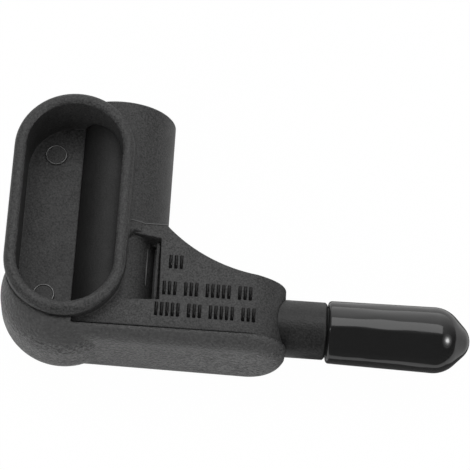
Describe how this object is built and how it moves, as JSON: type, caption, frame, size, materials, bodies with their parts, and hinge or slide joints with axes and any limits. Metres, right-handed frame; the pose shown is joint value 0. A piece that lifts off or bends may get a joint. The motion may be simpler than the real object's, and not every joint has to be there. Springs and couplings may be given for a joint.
{
  "type": "magnetic test probe",
  "caption": "Angled magnetic test probe with a finger grip, a shrouded 4 mm plug socket and a slim magnetic tip under a slide-off protective cap.",
  "frame": {"origin": "on the socket's axis, at the mouth of its contact", "axes": "+X along the arm to the tip, +Y up the socket the way a plug leaves, +Z out of the grip's front"},
  "size_m": [0.0739, 0.0414, 0.0212],
  "materials": {
    "housing": "fine-grained black moulded plastic, satin",
    "cover": "black moulded plastic with a coarse spark-eroded grain",
    "insulator": "smooth black plastic",
    "sleeve": "semi-gloss black plastic",
    "seal": "matt rubber",
    "vinyl": "glossy soft vinyl",
    "sheath": "soft insulation",
    "brass": "machined and plated",
    "spring": "rolled spring bronze",
    "copper": "stranded copper",
    "steel": "nickel-plated steel",
    "tin": "tinned",
    "magnet": "nickel-plated"
  },
  "bodies": {
    "root": {"main_housing": "housing", "base_cover": "cover", "socket_insulator": "insulator", "socket_contact": "brass", "contact_spring": "spring", "socket_washer": "steel", "socket_lug": "tin", "socket_nut": "steel", "wire_core": "copper", "wire_sheath": "sheath", "tip_lug": "tin", "tip_washer": "steel", "tip_nut": "steel", "tip_stud": "brass", "neck_sleeve": "sleeve", "neck_seal": "seal", "tip_holder": "steel", "tip_sleeve": "sleeve", "tip_magnet": "magnet"},
    "cap": {"protective_cap": "vinyl"}
  },
  "joints": [
    {"name": "cap_slide", "type": "slide", "parent": "root", "child": "cap", "axis": [1, 0, 0], "range_m": [0, 0.028]}
  ]
}
